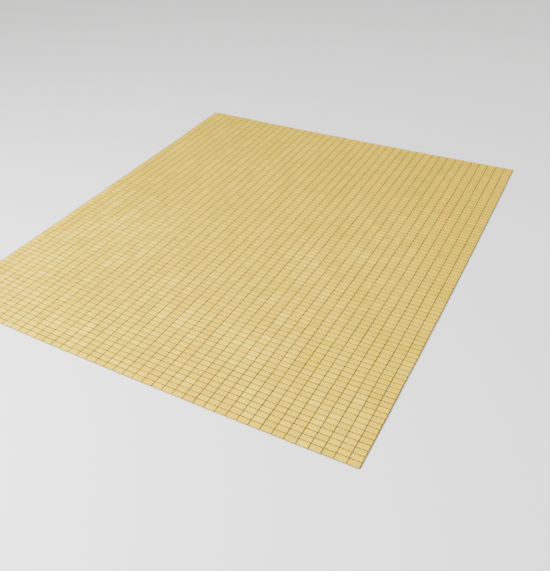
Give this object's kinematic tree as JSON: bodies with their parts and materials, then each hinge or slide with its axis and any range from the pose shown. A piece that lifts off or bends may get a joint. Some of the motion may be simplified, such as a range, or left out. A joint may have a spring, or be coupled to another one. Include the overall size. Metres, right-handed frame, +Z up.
{
  "type": "bamboo tile bed mat",
  "caption": "Flat cooling mat for a bed: small rectangular bamboo tiles in straight columns, threaded on clear cords, laid out flat.",
  "frame": {"origin": "on the surface that the mat lies on, under the middle of its outline", "axes": "+X across the mat along the tiles' length, +Y from its foot edge to its head edge, +Z up out of the face that shows"},
  "size_m": [1.8088, 1.99, 0.0055],
  "materials": {
    "bamboo": "satin, polished bamboo",
    "clear_nylon": "clear to silver-grey, glossy"
  },
  "bodies": {
    "root": {"tile_mat": "bamboo", "cord_00": "clear_nylon", "cord_01": "clear_nylon", "cord_02": "clear_nylon", "cord_03": "clear_nylon", "cord_04": "clear_nylon", "cord_05": "clear_nylon", "cord_06": "clear_nylon", "cord_07": "clear_nylon", "cord_08": "clear_nylon", "cord_09": "clear_nylon", "cord_10": "clear_nylon", "cord_11": "clear_nylon", "cord_12": "clear_nylon", "cord_13": "clear_nylon", "cord_14": "clear_nylon", "cord_15": "clear_nylon", "cord_16": "clear_nylon", "cord_17": "clear_nylon", "cord_18": "clear_nylon", "cord_19": "clear_nylon", "cord_20": "clear_nylon", "cord_21": "clear_nylon", "cord_22": "clear_nylon", "cord_23": "clear_nylon", "cord_24": "clear_nylon", "cord_25": "clear_nylon", "cord_26": "clear_nylon", "cord_27": "clear_nylon", "cord_28": "clear_nylon", "cord_29": "clear_nylon", "cord_30": "clear_nylon", "cord_31": "clear_nylon", "cord_32": "clear_nylon", "cord_33": "clear_nylon", "cord_34": "clear_nylon", "cord_35": "clear_nylon", "cord_36": "clear_nylon", "cord_37": "clear_nylon", "cord_38": "clear_nylon", "cord_39": "clear_nylon", "cord_40": "clear_nylon", "cord_41": "clear_nylon", "cord_42": "clear_nylon", "cord_43": "clear_nylon"}
  },
  "joints": []
}
